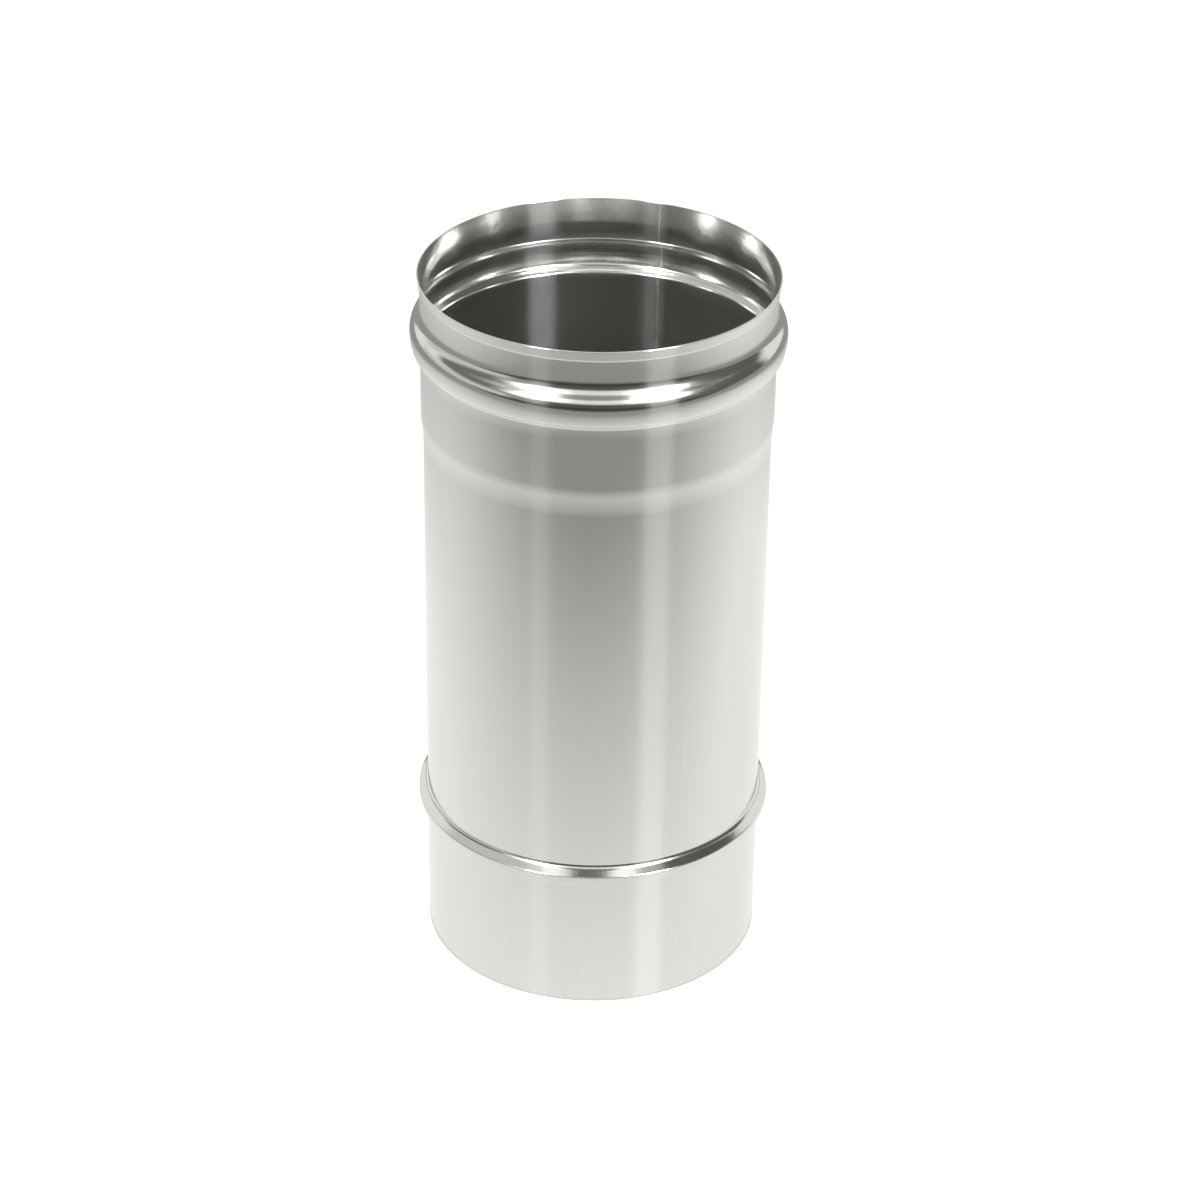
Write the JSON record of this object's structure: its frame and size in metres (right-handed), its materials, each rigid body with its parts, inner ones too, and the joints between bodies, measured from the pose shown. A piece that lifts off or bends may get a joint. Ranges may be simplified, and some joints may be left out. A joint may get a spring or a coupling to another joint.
{
  "type": "stainless chimney pipe",
  "caption": "Short single-wall stainless flue pipe with a plain spigot, a stop bead, and a widened socket with a gasket bead and a flared lip.",
  "frame": {"origin": "centre of the spigot's edge, on the floor that the pipe stands on", "axes": "+Z along the pipe's axis, from the spigot up to the socket; X and Y are alike because the pipe is round"},
  "size_m": [0.1246, 0.1246, 0.25],
  "materials": {
    "stainless": "bright annealed rolled sheet, nearly a mirror"
  },
  "bodies": {
    "root": {"pipe": "stainless"}
  },
  "joints": []
}
